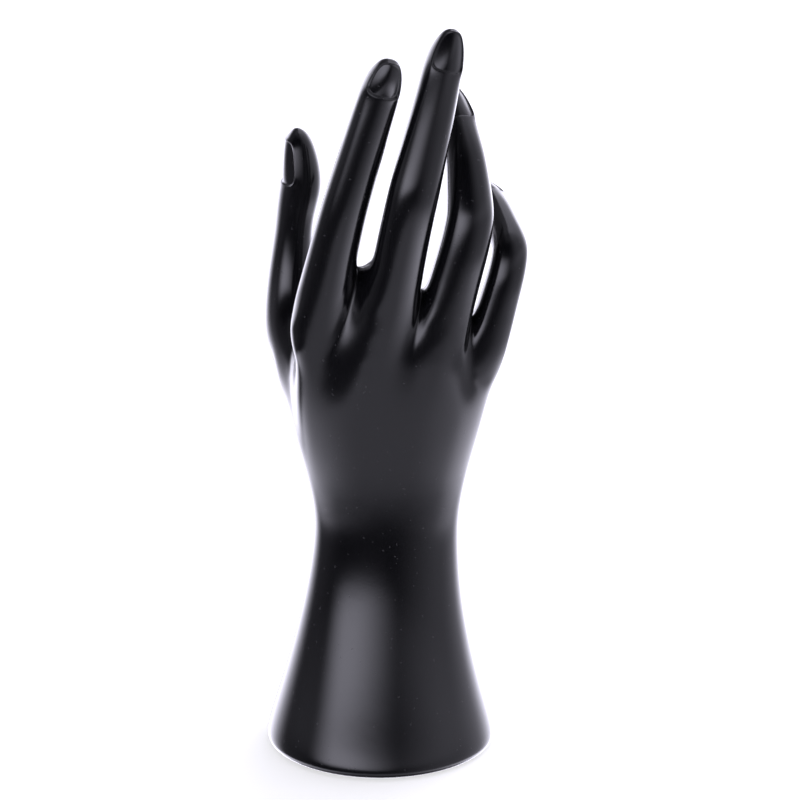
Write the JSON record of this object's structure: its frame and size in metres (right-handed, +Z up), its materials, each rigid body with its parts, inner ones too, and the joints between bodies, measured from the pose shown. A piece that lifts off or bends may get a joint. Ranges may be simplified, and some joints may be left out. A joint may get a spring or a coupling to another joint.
{
  "type": "hand jewelry stand",
  "caption": "Upright right hand on a flared wrist with a flat foot, spread and gently curled fingers and nails, for holding rings and bracelets.",
  "frame": {"origin": "centre of the flat underside of the flared wrist", "axes": "+Z up along the forearm to the fingertips, -Y out of the back of the hand, +Y out of the palm, -X to the thumb"},
  "size_m": [0.0819, 0.0731, 0.2286],
  "materials": {
    "black_plastic": "satin black, moulded"
  },
  "bodies": {
    "root": {"hand": "black_plastic"}
  },
  "joints": []
}
